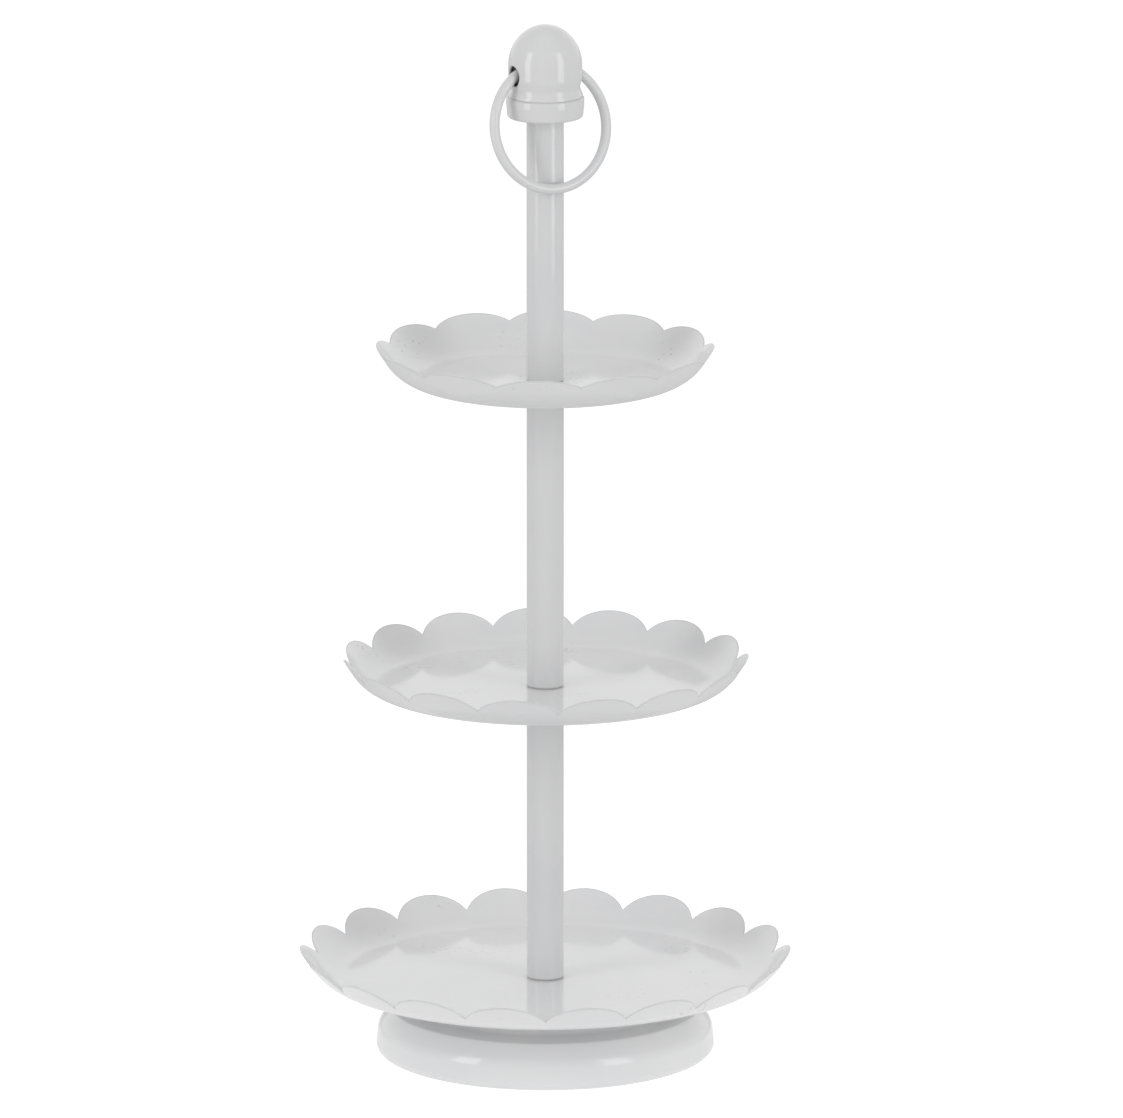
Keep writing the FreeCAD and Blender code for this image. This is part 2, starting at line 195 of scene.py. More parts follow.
# Noise scales are in features to the metre, and bump heights in metres.
ENAMEL_COOL = (0.745, 0.748, 0.757)
ENAMEL_WARM = (0.772, 0.772, 0.775)
# the colour of the painted shade on tight edges and corners, where the enamel is also thinner
ENAMEL_EDGE_SHADE = (0.58, 0.58, 0.59)
ENAMEL_MARK = (0.50, 0.50, 0.51)
FOOT_TONE = 1.02           # the foot, the trays and the stem differ a little in tone
TRAY_TONE = 1.07
STEM_TONE = 0.97
TRAY_MARKS = 0.6           # how dark the few marks of use on the trays are
MID_SPREAD = (0.35, 0.65)  # the part of a noise's range that counts
WIDE_SPREAD = (0.3, 0.7)
PATCH_SPREAD = (0.60, 0.66)
FLECK_SPREAD = (0.60, 0.68)
EDGE_SHADE_SHARE = 0.55          # how far a tight edge or corner goes towards the painted edge shade's colour
DRIFT_SCALE = 16.0
PATCH_SCALE = 24.0
FLECK_SCALE = 420.0
GLOSS_SCALE = 70.0
GLOSS_ROUGHNESS = (0.07, 0.12)
RIPPLE_SCALE = 60.0
RIPPLE_HEIGHT = 0.0006
RELIEF = 0.10              # the strength of all bumps but the orange peel
PEEL_SCALE = 620.0
PEEL_HEIGHT = 0.0001
PEEL_RELIEF = 0.08
ENAMEL_IOR = 1.5

ZINC_DULL = (0.56, 0.58, 0.61)
ZINC_BRIGHT = (0.70, 0.71, 0.72)
ZINC_ROUGHNESS = (0.26, 0.42)
BLOOM_SCALE = 180.0
RUB_SCALE = 420.0
GRAIN_SCALE = 2400.0

NYLON_DULL = (0.50, 0.50, 0.48)
NYLON_BRIGHT = (0.60, 0.60, 0.58)
NYLON_ROUGHNESS = (0.38, 0.5)
MILK_SCALE = 260.0
SATIN_SCALE = 500.0
SKIN_SCALE = 1500.0
FINE_HEIGHT = 0.00005      # the zinc's grain and the nylon's skin


# ---- camera, floor and light -------------------------------------------------------------------

def toward_camera(bearing=0.0):
    """A level unit vector from the stem to the camera, turned to its right by bearing in degrees."""
    angle = math.radians(CAMERA_YAW - bearing)
    return Vector((-math.sin(angle), -math.cos(angle), 0))


def make_camera():
    """A long lens, a little above the stand, with the stand slightly left of the frame's middle."""
    data = bpy.data.cameras.new("camera")
    data.sensor_width = SENSOR
    data.lens = LENS
    data.shift_x = SHIFT[0]
    data.shift_y = SHIFT[1]
    data.clip_end = CLIP_END
    camera = bpy.data.objects.new("camera", data)
    elevation = math.radians(CAMERA_ELEVATION)
    back = toward_camera() * math.cos(elevation) + Vector((0, 0, math.sin(elevation)))
    camera.location = Vector((0, 0, TARGET_Z)) + back * CAMERA_DISTANCE
    camera.rotation_euler = (math.pi / 2 - elevation, 0, -math.radians(CAMERA_YAW))
    bpy.context.scene.collection.objects.link(camera)
    bpy.context.scene.camera = camera


def mapped(tree, value, low, high, to_low, to_high, kind="SMOOTHSTEP"):
    """A socket that goes from to_low to to_high as value goes from low to high."""
    node = tree.nodes.new("ShaderNodeMapRange")
    node.interpolation_type = kind
    for socket, number in zip(node.inputs[1:5], (low, high, to_low, to_high)):
        socket.default_value = number
    tree.links.new(value, node.inputs[0])
    return node.outputs[0]


def show_both(tree, to_light, to_camera, output):
    """Make the output look like one shader to the camera and like the other to all other rays."""
    rays = tree.nodes.new("ShaderNodeLightPath")
    mix = tree.nodes.new("ShaderNodeMixShader")
    tree.links.new(rays.outputs["Is Camera Ray"], mix.inputs[0])
    tree.links.new(to_light.outputs[0], mix.inputs[1])
    tree.links.new(to_camera.outputs[0], mix.inputs[2])
    tree.links.new(mix.outputs[0], tree.nodes[output].inputs["Surface"])


def lit_surface(tree, tone):
    """A matt grey shader with light of its own: the emission node, and the two added."""
    diffuse = tree.nodes.new("ShaderNodeBsdfDiffuse")
    diffuse.inputs["Color"].default_value = (tone, tone, tone, 1)
    emission = tree.nodes.new("ShaderNodeEmission")
    both = tree.nodes.new("ShaderNodeAddShader")
    tree.links.new(diffuse.outputs[0], both.inputs[0])
    tree.links.new(emission.outputs[0], both.inputs[1])
    return emission, both


def make_floor():
    """A plain white floor. It sends most light up close to the foot, as a small lit table does."""
    size = FLOOR_REACH
    corners = [(-size, -size, 0), (size, -size, 0), (size, size, 0), (-size, size, 0)]
    mesh = bpy.data.meshes.new("floor")
    mesh.from_pydata(corners, [], [(0, 1, 2, 3)])
    floor = bpy.data.objects.new("floor", mesh)
    bpy.context.scene.collection.objects.link(floor)
    material = bpy.data.materials.new("floor")
    material.use_nodes = True
    tree = material.node_tree
    tree.nodes.remove(tree.nodes["Principled BSDF"])
    place = tree.nodes.new("ShaderNodeTexCoord")
    distance = tree.nodes.new("ShaderNodeVectorMath")
    distance.operation = "LENGTH"
    tree.links.new(place.outputs["Object"], distance.inputs[0])
    near = FLOOR_GLOW + NEAR_GLOW
    glow = mapped(tree, distance.outputs["Value"], *GLOW_FADE, near, FLOOR_GLOW)
    sent_emission, sent = lit_surface(tree, FLOOR_TONE)
    tree.links.new(glow, sent_emission.inputs["Strength"])
    seen_emission, seen = lit_surface(tree, FLOOR_WHITE)
    seen_emission.inputs["Strength"].default_value = FLOOR_LIFT
    show_both(tree, sent, seen, "Material Output")
    mesh.materials.append(material)


def make_world():
    """Soft light from all round, brighter behind the object, and plain white to the camera."""
    world = bpy.data.worlds.new("studio")
    world.use_nodes = True
    tree = world.node_tree
    ambient = tree.nodes["Background"]
    ambient.inputs["Color"].default_value = (1, 1, 1, 1)
    direction = tree.nodes.new("ShaderNodeTexCoord")
    behind = tree.nodes.new("ShaderNodeVectorMath")
    behind.operation = "DOT_PRODUCT"
    behind.inputs[1].default_value = -toward_camera()
    tree.links.new(direction.outputs["Generated"], behind.inputs[0])
    full = AMBIENT + BACKDROP
    strength = mapped(tree, behind.outputs["Value"], *BACKDROP_EDGE, AMBIENT, full)
    tree.links.new(strength, ambient.inputs["Strength"])
    white = tree.nodes.new("ShaderNodeBackground")
    white.inputs["Color"].default_value = (1, 1, 1, 1)
    show_both(tree, ambient, white, "World Output")
    bpy.context.scene.world = world


def make_panel(name, location, target, width, height, radiance):
    """A rectangle of light of even radiance, which the camera doesn't see."""
    data = bpy.data.lights.new(name, "AREA")
    data.shape = "RECTANGLE"
    data.size = width
    data.size_y = height
    # the power that gives a panel of this size this radiance
    data.energy = radiance * math.pi * width * height
    light = bpy.data.objects.new(name, data)
    light.location = location
    light.rotation_euler = (target - location).to_track_quat("-Z", "Y").to_euler()
    light.visible_camera = False
    bpy.context.scene.collection.objects.link(light)


def make_lights():
    """Each panel of light, turned to the point on the stem's axis that it is aimed at."""
    for name, bearing, elevation, distance, aim, width, height, radiance in PANELS:
        up = math.radians(elevation)
        target = Vector((0, 0, aim))
        away = toward_camera(bearing) * math.cos(up) + Vector((0, 0, math.sin(up)))
        make_panel(name, target + away * distance, target, width, height, radiance)


# ---- mesh helpers ------------------------------------------------------------------------------

def new_piece(node, vertices, faces, material, edge_shading, body="stand"):
    """A smooth mesh that replaces a CAD node, from vertices in mm; edge shading is 1 where tight edges
    and corners get painted shade.
    """
    name = node + "_enamel"
    mesh = bpy.data.meshes.new(name)
    mesh.from_pydata([(x * MM, y * MM, z * MM) for x, y, z in vertices], [], faces)
    # a point attribute that marks where the enamel paints shade on tight edges and corners
    shaded_edge = mesh.attributes.new("shaded_edge", "FLOAT", "POINT")
    shaded_edge.data.foreach_set("value", edge_shading)
    bm = bmesh.new()
    bm.from_mesh(mesh)
    bmesh.ops.recalc_face_normals(bm, faces=bm.faces)
    bm.to_mesh(mesh)
    bm.free()
    mesh.polygons.foreach_set("use_smooth", [True] * len(mesh.polygons))
    mesh.materials.append(material)
    piece = bpy.data.objects.new(name, mesh)
    bpy.context.scene.collection.objects.link(piece)
    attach(piece, body)
    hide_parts(node)


def grid_faces(rings, around):
    """Quads between consecutive closed rings of vertices, the last ring joined to the first."""
    faces = []
    for i in range(rings):
        a = i * around
        b = ((i + 1) % rings) * around
        for j in range(around):
            k = (j + 1) % around
            faces.append((a + j, a + k, b + k, b + j))
    return faces


def corner_arc(before, here, after, radius):
    """Points of the arc that rounds one corner of a path."""
    into = (here - before).normalized()
    out = (after - here).normalized()
    turn = into.angle(out)
    setback = radius * math.tan(turn / 2)
    if setback < SHARP:
        return [here]
    side = 1 if into.x * out.y - into.y * out.x > 0 else -1
    start = here - into * setback
    centre = start + Vector((-into.y, into.x)) * side * radius
    spoke = start - centre
    steps = max(2, math.ceil(ARC_STEPS * turn / (math.pi / 2)))
    points = []
    for k in range(steps + 1):
        a = side * turn * k / steps
        x = spoke.x * math.cos(a) - spoke.y * math.sin(a)
        y = spoke.x * math.sin(a) + spoke.y * math.cos(a)
        points.append(centre + Vector((x, y)))
    return points


def rounded_loop(corners):
    """A closed loop of (radius, height, edge shading) from corners given as (radius, height, corner
    radius); a tight rounding gets painted shade.
    """
    points = []
    for i, (x, z, radius) in enumerate(corners):
        before = Vector(corners[i - 1][:2])
        after = Vector(corners[(i + 1) % len(corners)][:2])
        # a tight rounding is marked for painted shade
        edge_shading = 1.0 if 0 < radius <= SHADED_EDGE_RADIUS else 0.0
        points += [(point, edge_shading) for point in corner_arc(before, Vector((x, z)), after, radius)]
    loop = []
    for i, (point, edge_shading) in enumerate(points):
        loop.append((point.x, point.y, edge_shading))
        run = points[(i + 1) % len(points)][0] - point
        # a long flat gets a loop close to each end
        if run.length > 3 * SUPPORT:
            step = run.normalized() * SUPPORT
            for held in (point + step, point + run - step):
                loop.append((held.x, held.y, 0.0))
    return loop


def offset_corners(corners, distance):
    """The open path's corners moved to the left of its direction, with concentric corner radii."""
    points = [Vector(corner[:2]) for corner in corners]
    moved = []
    for i, point in enumerate(points):
        before = (point - points[i - 1]).normalized() if i > 0 else None
        after = (points[i + 1] - point).normalized() if i < len(points) - 1 else None
        before = before or after
        after = after or before
        normal = Vector((-before.y - after.y, before.x + after.x)) / (1 + before.dot(after))
        left_turn = before.x * after.y - before.y * after.x > 0
        radius = corners[i][2] + (-distance if left_turn else distance)
        place = point + normal * distance
        moved.append((place.x, place.y, max(radius, 0.0)))
    return moved


def lathe(node, loop, material):
    """A closed loop of (radius, height, edge shading) turned about the stem's axis."""
    vertices = []
    edge_shading = []
    for r, z, shaded_edge in loop:
        for j in range(LATHE_STEPS):
            angle = 2 * math.pi * j / LATHE_STEPS
            vertices.append((r * math.cos(angle), r * math.sin(angle), z))
            edge_shading.append(shaded_edge)
    new_piece(node, vertices, grid_faces(len(loop), LATHE_STEPS), material, edge_shading)


def bottom_of(node):
    """The lowest height of a CAD node, in mm."""
    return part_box(node)[0].z / MM


def top_of(node):
    """The highest height of a CAD node, in mm."""
    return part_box(node)[1].z / MM


# ---- foot, trays and tubes ---------------------------------------------------------------------

def make_foot(material):
    """The spun foot: its outer profile, the same one sheet further in, and two rounded edges."""
    inner = offset_corners(FOOT_PROFILE, SHEET)
    outer_rest, outer_hole, inner_rest, inner_hole = [
        corners[i][:2] + (EDGE_ROUND,) for corners in (FOOT_PROFILE, inner) for i in (0, -1)
    ]
    loop = [outer_rest, *FOOT_PROFILE[1:-1], outer_hole, inner_hole, *inner[-2:0:-1], inner_rest]
    lathe("foot_shell", rounded_loop(loop), material)


def rim_radius(tray, angle):
    """Distance from the axis to the rim, at an angle from the middle of a lobe.

    A lobe is a circle's arc in the sloping wall, so from above it is an ellipse's.
    """
    half = math.pi / tray["lobes"]
    flattening = math.cos(math.radians(tray["wall_deg"]))
    width = tray["notch_r"] * math.sin(half)
    height = (tray["tip_r"] - tray["notch_r"] * math.cos(half)) / flattening
    long_axis = (width ** 2 + height ** 2) / (2 * height)
    short_axis = long_axis * flattening
    centre = tray["tip_r"] - short_axis
    a = (math.cos(angle) / short_axis) ** 2 + (math.sin(angle) / long_axis) ** 2
    b = -2 * centre * math.cos(angle) / short_axis ** 2
    c = (centre / short_axis) ** 2 - 1
    return (-b + math.sqrt(b * b - 4 * a * c)) / (2 * a)


def tray_section(tray, rim_r, floor_z):
    """The sheet's closed outline at one bearing, as (radius, height, edge shading): hole to rim and
    back; the rim is marked for painted shade.
    """
    half = SHEET / 2
    slope = math.radians(tray["wall_deg"])
    bend_r = tray["corner_r"] + half
    bend_end = tray["floor_r"] + bend_r * math.sin(slope)
    end_r = rim_r - half
    if end_r <= bend_end:
        length = bend_r * math.asin((end_r - tray["floor_r"]) / bend_r)
    else:
        length = bend_r * slope + (end_r - bend_end) / math.cos(slope)
    middle_z = floor_z - half
    hole_r = TRAY_HOLE_R + half
    middle = []
    for i in range(FLOOR_STEPS + 1):
        r = hole_r + (tray["floor_r"] - hole_r) * i / FLOOR_STEPS
        middle.append((r, middle_z, 0.0, 0.0))
    shares = [i / SIDE_STEPS for i in range(1, SIDE_STEPS)] + [1 - SUPPORT / length, 1.0]
    for share in shares:
        along = share * length
        bend = min(along / bend_r, slope)
        straight = max(along - bend_r * slope, 0.0)
        r = tray["floor_r"] + bend_r * math.sin(bend) + straight * math.cos(slope)
        z = middle_z + bend_r * (1 - math.cos(bend)) + straight * math.sin(slope)
        middle.append((r, z, bend, 1.0 if share == 1.0 else 0.0))
    upper = [(r - half * math.sin(a), z + half * math.cos(a), edge_shading) for r, z, a, edge_shading in middle]
    under = [(r + half * math.sin(a), z - half * math.cos(a), edge_shading) for r, z, a, edge_shading in middle]
    end_r, end_z, end_a, _ = middle[-1]
    rim = []
    # the rim's rounded edge is marked for painted shade
    for k in range(1, RIM_STEPS):
        a = end_a + math.pi / 2 - math.pi * k / RIM_STEPS
        rim.append((end_r + half * math.cos(a), end_z + half * math.sin(a), 1.0))
    hole = []
    for k in range(1, RIM_STEPS):
        a = -math.pi / 2 - math.pi * k / RIM_STEPS
        hole.append((hole_r + half * math.cos(a), middle_z + half * math.sin(a), 0.0))
    return upper + rim + under[::-1] + hole


def make_tray(node, material):
    """A dished, scalloped tray: columns of one sheet outline, each as long as its lobe allows."""
    tray = TRAYS[node]
    floor_z = bottom_of(node) + SHEET
    columns = tray["lobes"] * LOBE_STEPS
    lobe_angle = 2 * math.pi / tray["lobes"]
    sections = []
    for j in range(columns):
        across = (j % LOBE_STEPS) / LOBE_STEPS - 0.5
        sections.append(tray_section(tray, rim_radius(tray, across * lobe_angle), floor_z))
    rings = len(sections[0])
    vertices = []
    edge_shading = []
    for i in range(rings):
        for j, section in enumerate(sections):
            bearing = math.radians(tray["turn"]) + 2 * math.pi * j / columns
            r, z, shaded_edge = section[i]
            vertices.append((r * math.sin(bearing), r * math.cos(bearing), z))
            edge_shading.append(shaded_edge)
    new_piece(node, vertices, grid_faces(rings, columns), material, edge_shading)


def make_tube(node, material):
    """A stem tube, as high as its CAD node."""
    low = bottom_of(node)
    high = top_of(node)
    inner_r = TUBE_R - TUBE_WALL
    corners = [
        (inner_r, low, EDGE_ROUND / 2),
        (TUBE_R, low, EDGE_ROUND),
        (TUBE_R, high, EDGE_ROUND),
        (inner_r, high, EDGE_ROUND / 2),
    ]
    lathe(node, rounded_loop(corners), material)


# ---- finial and ring ---------------------------------------------------------------------------

def make_collar(material):
    """The finial's turned base, with a soft band outside and a hollow spigot inside the dome."""
    base = bottom_of("finial_collar")
    recess_r = TUBE_R + COLLAR_FIT
    spigot_r = NECK_R - DOME_WALL
    groove_r = spigot_r - SPIGOT_WALL
    corners = [
        (THREAD_R, FINIAL_RECESS, TIGHT_ROUND),
        (recess_r, FINIAL_RECESS, TIGHT_ROUND),
        (recess_r, 0.0, SOFT_ROUND),
        (COLLAR_FOOT_R - COLLAR_FOOT_INSET, 0.0, COLLAR_FOOT_ROUND),
        (COLLAR_BAND_R, COLLAR_BAND_LOW, BAND_SHOULDER_ROUND),
        (COLLAR_BAND_R, COLLAR_BAND_TOP, BAND_EDGE_ROUND),
        (SEAM_R + LEDGE_OUT, SEAM_Z - LEDGE_DROP, SOFT_ROUND),
        (SEAM_R - LEDGE_IN, SEAM_Z, LEDGE_ROUND),
        (spigot_r, SEAM_Z, TIGHT_ROUND),
        (spigot_r, SPIGOT_TOP, SOFT_ROUND),
        (groove_r, SPIGOT_TOP, SOFT_ROUND),
        (groove_r, CORE_ROOT_Z, SOFT_ROUND),
        (CORE_R, CORE_ROOT_Z, SOFT_ROUND),
        (CORE_R - CORE_TAPER, CORE_TOP, SOFT_ROUND),
        (THREAD_R, CORE_TOP, THREAD_ROUND),
    ]
    # its tight corners, the seam's ledge among them, are marked for painted shade
    lathe("finial_collar", [(r, z + base, edge_shading) for r, z, edge_shading in rounded_loop(corners)], material)


def skirt_path():
    """The dome's outer skirt from the seam up to where its cap starts."""
    corners = [
        (SEAM_R, SEAM_Z, 0.0),
        (SEAM_R - SKIRT_TAPER, SEAM_Z + SKIRT_LIP, SKIRT_ROUND),
        (NECK_R, NECK_Z, NECK_ROUND),
        (DOME_R, DOME_SHOULDER_Z, DOME_SHOULDER_ROUND),
        (DOME_R, DOME_CENTRE_Z, 0.0),
    ]
    path = [Vector(corners[0][:2])]
    for i in range(1, len(corners) - 1):
        before = Vector(corners[i - 1][:2])
        after = Vector(corners[i + 1][:2])
        path += corner_arc(before, Vector(corners[i][:2]), after, corners[i][2])
    return path + [Vector(corners[-1][:2])]


SKIRT = skirt_path()


def dome_radius(z, inset):
    """The dome's radius at a height above the collar's underside, moved in by inset."""
    if z >= DOME_CENTRE_Z:
        share = (z - DOME_CENTRE_Z) / (DOME_RISE - inset)
        return (DOME_R - inset) * math.sqrt(max(0.0, 1 - share * share))
    for low, high in zip(SKIRT, SKIRT[1:]):
        if z <= high.y:
            share = (z - low.y) / (high.y - low.y)
            return low.x + (high.x - low.x) * share - inset
    # only a height that rounding puts just above the skirt's last point comes here
    return DOME_R - inset


def dome_rows(inset):
    """(height, radius) of each row of a skin of the dome, and the row where the holes' blocks start."""
    block_low = SIDE_HOLE_Z - HOLE_BLOCK
    block_high = SIDE_HOLE_Z + HOLE_BLOCK
    pull = SKIRT_EDGE if inset == 0 else 0.0
    seam_r = dome_radius(SEAM_Z, inset)
    rows = [
        (SEAM_Z, seam_r - pull),
        (SEAM_Z + SKIRT_EDGE * SKIRT_EDGE_SHARE, seam_r - pull * SKIRT_EDGE_SHARE),
    ]
    for i in range(SKIRT_ROWS):
        z = SEAM_Z + SKIRT_EDGE + (block_low - SEAM_Z - SKIRT_EDGE) * i / SKIRT_ROWS
        rows.append((z, dome_radius(z, inset)))
    first = len(rows)
    for i in range(HOLE_ROWS + 1):
        z = block_low + 2 * HOLE_BLOCK * i / HOLE_ROWS
        rows.append((z, dome_radius(z, inset)))
    start = math.asin((block_high - DOME_CENTRE_Z) / (DOME_RISE - inset))
    for i in range(1, CAP_ROWS):
        t = start + (math.pi / 2 - start) * i / CAP_ROWS
        z = DOME_CENTRE_Z + (DOME_RISE - inset) * math.sin(t)
        rows.append((z, (DOME_R - inset) * math.cos(t)))
    return rows, first


def block_loop(side, first):
    """(row, column) of each vertex round a hole's block; side is +1 for the hole at +X, -1 at -X."""
    middle = 0 if side > 0 else DOME_COLUMNS // 2
    left = middle - HOLE_COLUMNS
    right = middle + HOLE_COLUMNS
    last = first + HOLE_ROWS
    loop = [(first, j) for j in range(left, right)]
    loop += [(i, right) for i in range(first, last)]
    loop += [(last, j) for j in range(right, left, -1)]
    loop += [(i, left) for i in range(last, first, -1)]
    return loop


def lip_profile():
    """(distance past the hole's radius, depth below the outer skin) of each ring of a hole's lip."""
    profile = []
    for k in range(LIP_STEPS + 1):
        a = math.pi / 2 * k / LIP_STEPS
        profile.append((HOLE_LIP * (1 - math.sin(a)), HOLE_LIP * (1 - math.cos(a))))
    return profile + [(wide, DOME_WALL - deep) for wide, deep in reversed(profile)]


def make_dome(material):
    """The hollow dome: two skins joined at the seam and, round each side hole, by a rounded lip."""
    base = bottom_of("finial_collar")
    vertices = []
    edge_shading = []
    faces = []

    def add(x, y, z, shaded_edge=0.0):
        """Add a vertex, with z above the collar's underside, and return its number."""
        vertices.append((x, y, z + base))
        edge_shading.append(shaded_edge)
        return len(vertices) - 1

    def on_wall(y, z, inset, side, shaded_edge=0.0):
        """Add a vertex on the dome's wall, moved in by inset, on the +X or the -X side."""
        r = dome_radius(z, inset)
        return add(side * math.sqrt(r * r - y * y), y, z, shaded_edge)

    def in_block(row, column, first):
        """Whether the face above and after this vertex is in a hole's block."""
        across = (column + HOLE_COLUMNS) % (DOME_COLUMNS // 2)
        return first <= row < first + HOLE_ROWS and across < 2 * HOLE_COLUMNS

    skins = []
    for inset in (0.0, DOME_WALL):
        rows, first = dome_rows(inset)
        index = {}
        for i, (z, r) in enumerate(rows):
            for j in range(DOME_COLUMNS):
                if all(in_block(row, column, first) for row in (i - 1, i) for column in (j - 1, j)):
                    continue
                angle = 2 * math.pi * j / DOME_COLUMNS
                index[i, j] = add(r * math.cos(angle), r * math.sin(angle), z)
        for i in range(len(rows) - 1):
            for j in range(DOME_COLUMNS):
                if not in_block(i, j, first):
                    k = (j + 1) % DOME_COLUMNS
                    faces.append((index[i, j], index[i, k], index[i + 1, k], index[i + 1, j]))
        pole = add(0, 0, DOME_CENTRE_Z + DOME_RISE - inset)
        last = len(rows) - 1
        for j in range(DOME_COLUMNS):
            faces.append((index[last, j], index[last, (j + 1) % DOME_COLUMNS], pole))
        skins.append(index)
    for j in range(DOME_COLUMNS):
        k = (j + 1) % DOME_COLUMNS
        faces.append((skins[0][0, j], skins[0][0, k], skins[1][0, k], skins[1][0, j]))

    for side in (1, -1):
        loop = [(i, j % DOME_COLUMNS) for i, j in block_loop(side, first)]
        rings = [[skins[0][place] for place in loop]]
        outline = [(vertices[v][1], vertices[v][2] - base) for v in rings[0]]
        bearings = [math.atan2(z - SIDE_HOLE_Z, y) for y, z in outline]
        lip_r = SIDE_HOLE_R + HOLE_LIP

        def between(share, inset):
            """A ring of vertices part of the way from the block's outline to the lip."""
            ring = []
            for (y, z), bearing in zip(outline, bearings):
                lip_y = lip_r * math.cos(bearing)
                lip_z = SIDE_HOLE_Z + lip_r * math.sin(bearing)
                ring.append(on_wall(y + (lip_y - y) * share, z + (lip_z - z) * share, inset, side))
            return ring

        rings += [between(k / HOLE_RINGS, 0.0) for k in range(1, HOLE_RINGS)]
        for wide, deep in lip_profile():
            r = SIDE_HOLE_R + wide
            at = [(r * math.cos(bearing), SIDE_HOLE_Z + r * math.sin(bearing)) for bearing in bearings]
            # the hole's lip is marked for painted shade
            rings.append([on_wall(y, z, deep, side, 1.0) for y, z in at])
        rings += [between(k / HOLE_RINGS, DOME_WALL) for k in range(HOLE_RINGS - 1, 0, -1)]
        rings.append([skins[1][place] for place in loop])
        for a, b in zip(rings, rings[1:]):
            for j in range(len(loop)):
                k = (j + 1) % len(loop)
                faces.append((a[j], a[k], b[k], b[j]))
    new_piece("finial_dome", vertices, faces, material, edge_shading)


def make_ring(material):
    """The wire ring, hanging from the finial's side holes and leaning on the tube."""
    drop = math.sqrt(RING_R ** 2 - PIVOT_REACH ** 2)
    lean = math.asin((TUBE_R + WIRE_R + RING_GAP) / (drop + RING_R))
    pivot = bottom_of("finial_collar") + PIVOT_Z
    vertices = []
    for i in range(RING_STEPS):
        u = 2 * math.pi * i / RING_STEPS
        for k in range(WIRE_STEPS):
            v = 2 * math.pi * k / WIRE_STEPS
            r = RING_R + WIRE_R * math.cos(v)
            y = WIRE_R * math.sin(v)
            z = r * math.cos(u) - drop
            leaned_y = y * math.cos(lean) + z * math.sin(lean)
            leaned_z = z * math.cos(lean) - y * math.sin(lean)
            vertices.append((r * math.sin(u), leaned_y, leaned_z + pivot))
    faces = grid_faces(RING_STEPS, WIRE_STEPS)
    new_piece("ring_handle", vertices, faces, material, [0.0] * len(vertices), body="ring")


# ---- materials ---------------------------------------------------------------------------------

class Nodes:
    """A material's nodes, with short calls for the few kinds that the finishes share."""

    def __init__(self, name):
        """A new material with a Principled shader, textured in the object's own coordinates."""
        self.material = bpy.data.materials.new(name)
        self.material.use_nodes = True
        self.tree = self.material.node_tree
        self.shader = self.tree.nodes["Principled BSDF"]
        self.place = self.tree.nodes.new("ShaderNodeTexCoord").outputs["Object"]

    def noise(self, scale, detail=2.0):
        """Noise with about scale features in each metre."""
        node = self.tree.nodes.new("ShaderNodeTexNoise")
        node.inputs["Scale"].default_value = scale
        node.inputs["Detail"].default_value = detail
        self.tree.links.new(self.place, node.inputs["Vector"])
        return node.outputs["Fac"]

    def spread(self, value, low, high, to_low=0.0, to_high=1.0):
        """value between low and high mapped evenly to between to_low and to_high."""
        return mapped(self.tree, value, low, high, to_low, to_high, "LINEAR")

    def times(self, a, b):
        """The product of a socket and a number or another socket."""
        node = self.tree.nodes.new("ShaderNodeMath")
        node.operation = "MULTIPLY"
        self.tree.links.new(a, node.inputs[0])
        if isinstance(b, float):
            node.inputs[1].default_value = b
        else:
            self.tree.links.new(b, node.inputs[1])
        return node.outputs[0]

    def mixed(self, share, a, b):
        """Colour a, which may be a socket, going to colour b as share goes to 1."""
        node = self.tree.nodes.new("ShaderNodeMix")
        node.data_type = "RGBA"
        # inputs 6 and 7 are its two colours, and output 2 is the mixed one
        self.tree.links.new(share, node.inputs["Factor"])
        for socket, colour in ((node.inputs[6], a), (node.inputs[7], b)):
            if isinstance(colour, tuple):
                socket.default_value = (*colour, 1)
            else:
                self.tree.links.new(colour, socket)
        return node.outputs[2]

    def attribute(self, name):
        """The value of one of the mesh's own attributes."""
        node = self.tree.nodes.new("ShaderNodeAttribute")
        node.attribute_name = name
        return node.outputs["Fac"]

    def bump(self, height, strength, distance, under=None):
        """A normal bumped by a height, over the bumps under it."""
        node = self.tree.nodes.new("ShaderNodeBump")
        node.inputs["Strength"].default_value = strength
        node.inputs["Distance"].default_value = distance
        self.tree.links.new(height, node.inputs["Height"])
        if under:
            self.tree.links.new(under, node.inputs["Normal"])
        return node.outputs["Normal"]

    def finish(self, colour, roughness, normal):
        """Link the shader's three varied inputs and return the material."""
        for value, socket in ((colour, "Base Color"), (roughness, "Roughness"), (normal, "Normal")):
            self.tree.links.new(value, self.shader.inputs[socket])
        return self.material


def shade(colour, tone):
    """A colour made paler or darker."""
    return tuple(channel * tone for channel in colour)


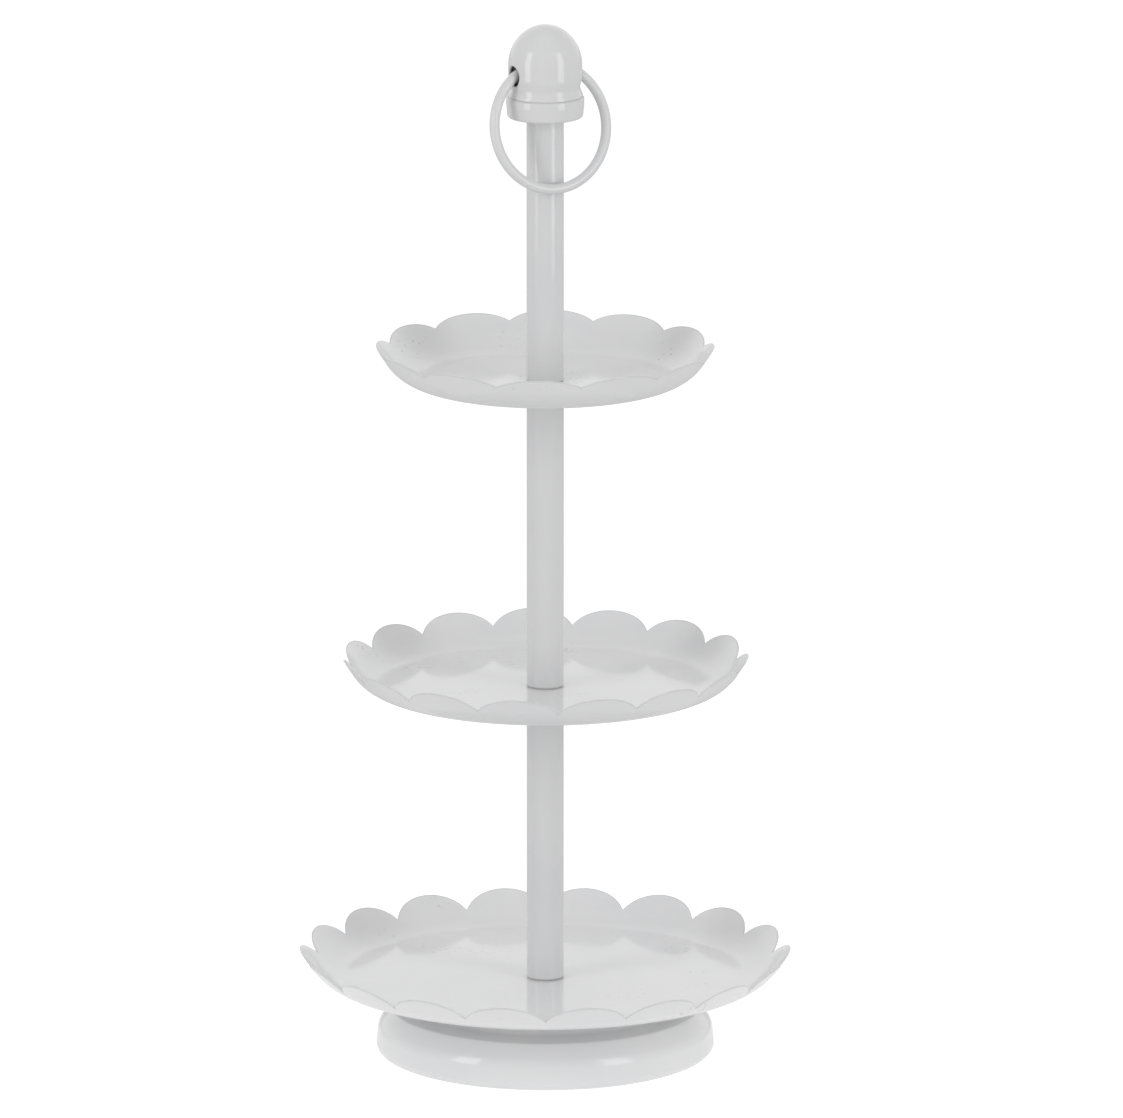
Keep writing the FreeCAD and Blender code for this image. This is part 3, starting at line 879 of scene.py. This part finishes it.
def enamel(name, tone, marks=0.0):
    """White gloss enamel: slow drift of colour, painted shade on tight edges and corners where the
    enamel is also thinner, faint orange peel, a few marks.
    """
    nodes = Nodes(name)
    drift = nodes.spread(nodes.noise(DRIFT_SCALE), *MID_SPREAD)
    colour = nodes.mixed(drift, shade(ENAMEL_COOL, tone), shade(ENAMEL_WARM, tone))
    # painted shade on the tight edges and corners that the mesh marks
    edge_shade = nodes.times(nodes.attribute("shaded_edge"), EDGE_SHADE_SHARE)
    colour = nodes.mixed(edge_shade, colour, shade(ENAMEL_EDGE_SHADE, tone))
    if marks > 0:
        patches = nodes.spread(nodes.noise(PATCH_SCALE, detail=1.0), *PATCH_SPREAD)
        flecks = nodes.spread(nodes.noise(FLECK_SCALE, detail=3.0), *FLECK_SPREAD)
        colour = nodes.mixed(nodes.times(nodes.times(patches, flecks), marks), colour, ENAMEL_MARK)
    roughness = nodes.spread(nodes.noise(GLOSS_SCALE, detail=3.0), *WIDE_SPREAD, *GLOSS_ROUGHNESS)
    ripple = nodes.bump(nodes.noise(RIPPLE_SCALE, detail=1.0), RELIEF, RIPPLE_HEIGHT)
    peel = nodes.bump(nodes.noise(PEEL_SCALE, detail=2.0), PEEL_RELIEF, PEEL_HEIGHT, ripple)
    nodes.shader.inputs["IOR"].default_value = ENAMEL_IOR
    return nodes.finish(colour, roughness, peel)


def zinc_steel():
    """Bright zinc plate with a faint cloudy bloom and a fine grain."""
    nodes = Nodes("zinc_steel")
    bloom = nodes.spread(nodes.noise(BLOOM_SCALE, detail=4.0), *MID_SPREAD)
    colour = nodes.mixed(bloom, ZINC_DULL, ZINC_BRIGHT)
    roughness = nodes.spread(nodes.noise(RUB_SCALE, detail=3.0), *WIDE_SPREAD, *ZINC_ROUGHNESS)
    grain = nodes.bump(nodes.noise(GRAIN_SCALE, detail=2.0), RELIEF, FINE_HEIGHT)
    nodes.shader.inputs["Metallic"].default_value = 1.0
    return nodes.finish(colour, roughness, grain)


def clear_nylon():
    """Milky nylon washers, slightly uneven in tone."""
    nodes = Nodes("clear_nylon")
    milk = nodes.spread(nodes.noise(MILK_SCALE, detail=2.0), *MID_SPREAD)
    colour = nodes.mixed(milk, NYLON_DULL, NYLON_BRIGHT)
    roughness = nodes.spread(nodes.noise(SATIN_SCALE, detail=2.0), *WIDE_SPREAD, *NYLON_ROUGHNESS)
    skin = nodes.bump(nodes.noise(SKIN_SCALE, detail=2.0), RELIEF, FINE_HEIGHT)
    return nodes.finish(colour, roughness, skin)


def main():
    """The studio, the ten pieces that stand for CAD nodes, and finishes for the other nodes."""
    bpy.context.scene.view_settings.view_transform = "Standard"
    make_camera()
    make_floor()
    make_world()
    make_lights()

    make_foot(enamel("white_enamel_foot", FOOT_TONE))
    on_trays = enamel("white_enamel_trays", TRAY_TONE, TRAY_MARKS)
    for node in TRAYS:
        make_tray(node, on_trays)
    on_stem = enamel("white_enamel_stem", STEM_TONE)
    for node in ("lower_tube", "middle_tube", "upper_tube"):
        make_tube(node, on_stem)
    make_collar(on_stem)
    make_dome(on_stem)
    make_ring(on_stem)

    finishes = {"white_enamel": on_stem, "zinc_steel": zinc_steel(), "clear_nylon": clear_nylon()}
    for part in frame["record"]["subparts"]:
        node = NODES[part["node"]]
        node.data.materials.clear()
        node.data.materials.append(finishes[part["material_slot"]])


main()
